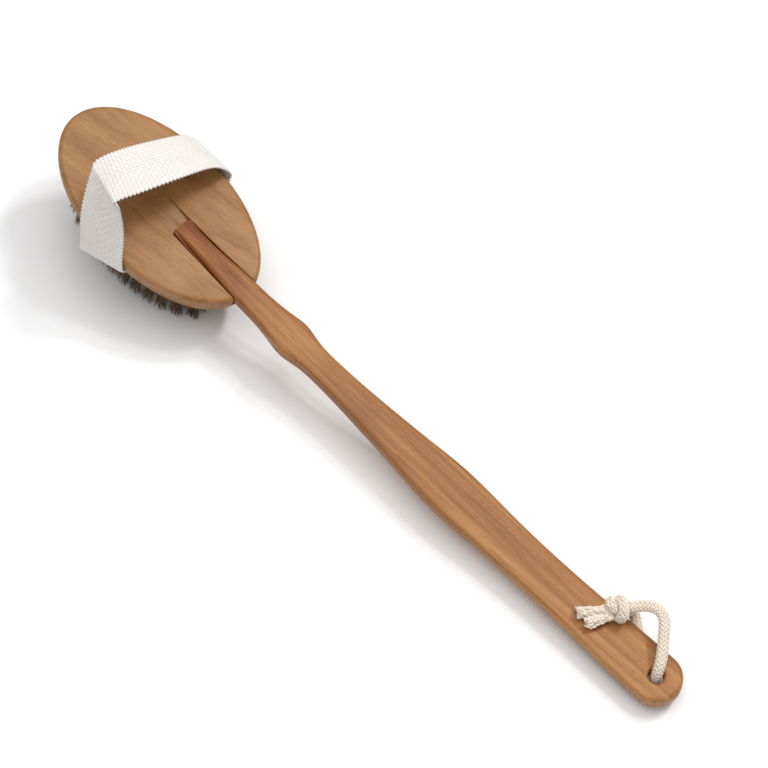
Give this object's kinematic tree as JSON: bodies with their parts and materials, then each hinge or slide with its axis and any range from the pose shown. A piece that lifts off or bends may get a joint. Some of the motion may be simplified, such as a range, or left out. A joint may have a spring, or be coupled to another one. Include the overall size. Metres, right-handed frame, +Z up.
{
  "type": "body dry brush",
  "caption": "Oval wooden body brush with natural bristles, a cotton hand strap and a long detachable bowed handle with a rope hanging loop.",
  "frame": {"origin": "on the surface that the brush lies on, under the middle of the brush without its rope", "axes": "+X along the brush from the head to the handle's tip, +Z up from the surface, Y across"},
  "size_m": [0.4163, 0.0766, 0.0918],
  "materials": {
    "head_wood": "satin, pale straight grain",
    "handle_wood": "satin, reddish lengthwise grain",
    "bristle": "natural plant fibre bristle",
    "strap_cotton": "coarse woven cotton webbing",
    "rope_cotton": "braided natural cotton",
    "steel_wire": "drawn wire"
  },
  "bodies": {
    "head": {"back_plate": "head_wood", "bristle_plate": "head_wood", "bristle_row_01": "bristle", "bristle_row_02": "bristle", "bristle_row_03": "bristle", "bristle_row_04": "bristle", "bristle_row_05": "bristle", "bristle_row_06": "bristle", "bristle_row_07": "bristle", "bristle_row_08": "bristle", "bristle_row_09": "bristle", "bristle_row_10": "bristle", "bristle_row_11": "bristle", "bristle_row_12": "bristle", "bristle_row_13": "bristle", "hand_strap": "strap_cotton", "strap_staples_left": "steel_wire", "strap_staples_right": "steel_wire", "tuft_anchors": "steel_wire"},
    "grip": {"handle": "handle_wood", "rope_end_lower": "rope_cotton", "rope_end_upper": "rope_cotton", "rope_knot": "rope_cotton", "rope_loop": "rope_cotton"}
  },
  "joints": [
    {"name": "handle_slide", "type": "slide", "parent": "head", "child": "grip", "axis": [0.9432, 0, -0.3322], "range_m": [0, 0.048]}
  ]
}
